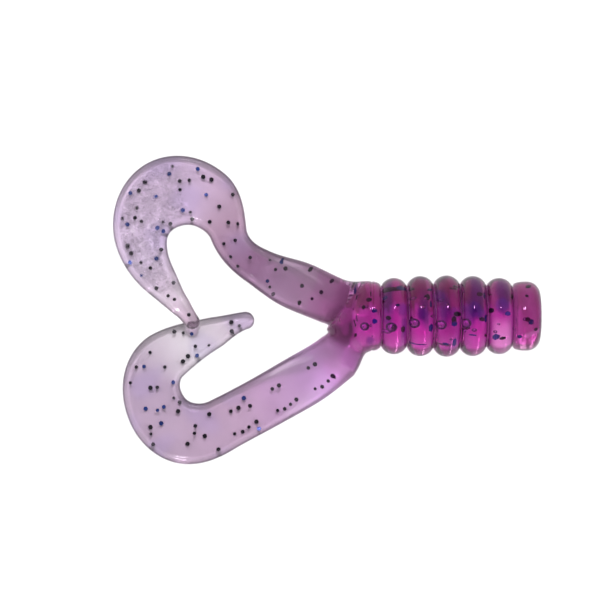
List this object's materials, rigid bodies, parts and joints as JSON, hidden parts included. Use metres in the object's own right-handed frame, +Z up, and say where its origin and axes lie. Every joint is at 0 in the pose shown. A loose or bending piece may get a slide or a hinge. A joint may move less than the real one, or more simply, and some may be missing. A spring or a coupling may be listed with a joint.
{
  "type": "twin tail soft plastic grub",
  "caption": "Soft fishing lure with a ribbed round body that forks into two flat curly tails, with glitter flakes sealed inside.",
  "frame": {"origin": "centre of the flat nose face, on the body axis", "axes": "+X forward out of the nose, +Y to the lure's left, +Z up, away from the surface it lies on"},
  "size_m": [0.0601, 0.0437, 0.0114],
  "materials": {
    "plum_body": "gloss",
    "mauve_ribbon": "gloss",
    "black_glitter": "gloss",
    "blue_glitter": "gloss"
  },
  "bodies": {
    "head": {"nose": "plum_body", "rib_1": "plum_body", "black_flakes_head": "black_glitter", "blue_flakes_head": "blue_glitter"},
    "second_rib": {"rib_2": "plum_body", "black_flakes_rib_2": "black_glitter", "blue_flakes_rib_2": "blue_glitter"},
    "third_rib": {"rib_3": "plum_body", "black_flakes_rib_3": "black_glitter", "blue_flakes_rib_3": "blue_glitter"},
    "fourth_rib": {"rib_4": "plum_body", "black_flakes_rib_4": "black_glitter", "blue_flakes_rib_4": "blue_glitter"},
    "fifth_rib": {"rib_5": "plum_body", "black_flakes_rib_5": "black_glitter", "blue_flakes_rib_5": "blue_glitter"},
    "rear": {"collar": "plum_body", "fork": "plum_body", "black_flakes_fork": "black_glitter", "blue_flakes_fork": "blue_glitter"},
    "left_root_part": {"left_root": "mauve_ribbon", "black_flakes_left_root": "black_glitter"},
    "left_stem_part": {"left_stem": "mauve_ribbon", "left_waist": "mauve_ribbon", "black_flakes_left_stem": "black_glitter", "blue_flakes_left_stem": "blue_glitter"},
    "left_crown_part": {"left_shoulder": "mauve_ribbon", "left_crown": "mauve_ribbon", "black_flakes_left_crown": "black_glitter", "blue_flakes_left_crown": "blue_glitter"},
    "left_hook_part": {"left_sweep": "mauve_ribbon", "left_hook": "mauve_ribbon", "black_flakes_left_hook": "black_glitter", "blue_flakes_left_hook": "blue_glitter"},
    "left_tip_part": {"left_finger": "mauve_ribbon", "left_tip": "mauve_ribbon", "black_flakes_left_tip": "black_glitter"},
    "right_root_part": {"right_root": "mauve_ribbon", "black_flakes_right_root": "black_glitter"},
    "right_stem_part": {"right_stem": "mauve_ribbon", "right_reach": "mauve_ribbon", "black_flakes_right_stem": "black_glitter", "blue_flakes_right_stem": "blue_glitter"},
    "right_curl_part": {"right_bend": "mauve_ribbon", "right_crown": "mauve_ribbon", "right_sweep": "mauve_ribbon", "right_hook": "mauve_ribbon", "black_flakes_right_curl": "black_glitter", "blue_flakes_right_curl": "blue_glitter"},
    "right_tip_part": {"right_tip": "mauve_ribbon", "black_flakes_right_tip": "black_glitter"}
  },
  "joints": [
    {"name": "groove_1_yaw", "type": "hinge", "parent": "head", "child": "second_rib", "pos_m": [-0.00758, 0, 0], "axis": [0, 0, 1], "range_deg": [-7, 7], "stiffness_Nm_per_rad": 0.0015},
    {"name": "groove_2_pitch", "type": "hinge", "parent": "second_rib", "child": "third_rib", "pos_m": [-0.01126, 0, 0], "axis": [0, 1, 0], "range_deg": [-7, 7], "stiffness_Nm_per_rad": 0.0015},
    {"name": "groove_3_yaw", "type": "hinge", "parent": "third_rib", "child": "fourth_rib", "pos_m": [-0.01494, 0, 0], "axis": [0, 0, 1], "range_deg": [-7, 7], "stiffness_Nm_per_rad": 0.0015},
    {"name": "groove_4_pitch", "type": "hinge", "parent": "fourth_rib", "child": "fifth_rib", "pos_m": [-0.01862, 0, 0], "axis": [0, -1, 0], "range_deg": [-7, 7], "stiffness_Nm_per_rad": 0.0015},
    {"name": "groove_5_yaw", "type": "hinge", "parent": "fifth_rib", "child": "rear", "pos_m": [-0.0223, 0, 0], "axis": [0, 0, 1], "range_deg": [-7, 7], "stiffness_Nm_per_rad": 0.0015},
    {"name": "left_swing", "type": "hinge", "parent": "rear", "child": "left_root_part", "pos_m": [-0.0292, 0.0022, -0.0012], "axis": [0, 0, 1], "range_deg": [-12, 2], "stiffness_Nm_per_rad": 0.0002},
    {"name": "right_swing", "type": "hinge", "parent": "rear", "child": "right_root_part", "pos_m": [-0.0282, -0.0056, -0.0012], "axis": [0, 0, 1], "range_deg": [-2, 12], "stiffness_Nm_per_rad": 0.0002},
    {"name": "left_stem_flap", "type": "hinge", "parent": "left_root_part", "child": "left_stem_part", "pos_m": [-0.03443, 0.00421, -0.00265], "axis": [0.342, 0.9397, 0], "range_deg": [0, 20], "stiffness_Nm_per_rad": 0.0002},
    {"name": "left_waist_flap", "type": "hinge", "parent": "left_stem_part", "child": "left_crown_part", "pos_m": [-0.04339, 0.01177, -0.00495], "axis": [0.9613, 0.2756, 0], "range_deg": [-18, 0], "stiffness_Nm_per_rad": 0.00006},
    {"name": "left_crown_flap", "type": "hinge", "parent": "left_crown_part", "child": "left_hook_part", "pos_m": [-0.05209, 0.01608, -0.00499], "axis": [-0.4067, 0.9135, 0], "range_deg": [0, 30], "stiffness_Nm_per_rad": 0.00006},
    {"name": "left_tip_flap", "type": "hinge", "parent": "left_hook_part", "child": "left_tip_part", "pos_m": [-0.05384, 0.00517, -0.005], "axis": [-0.829, -0.5592, 0], "range_deg": [0, 32], "stiffness_Nm_per_rad": 0.00006},
    {"name": "right_stem_flap", "type": "hinge", "parent": "right_root_part", "child": "right_stem_part", "pos_m": [-0.03311, -0.00904, -0.00283], "axis": [-0.515, 0.8572, 0], "range_deg": [-20, 0], "stiffness_Nm_per_rad": 0.0002},
    {"name": "right_curl_flap", "type": "hinge", "parent": "right_stem_part", "child": "right_curl_part", "pos_m": [-0.04483, -0.01553, -0.00496], "axis": [-0.454, 0.891, 0], "range_deg": [0, 30], "stiffness_Nm_per_rad": 0.00006},
    {"name": "right_tip_flap", "type": "hinge", "parent": "right_curl_part", "child": "right_tip_part", "pos_m": [-0.04554, -0.00187, -0.005], "axis": [0.3584, -0.9336, 0], "range_deg": [-32, 32], "stiffness_Nm_per_rad": 0.00006}
  ]
}
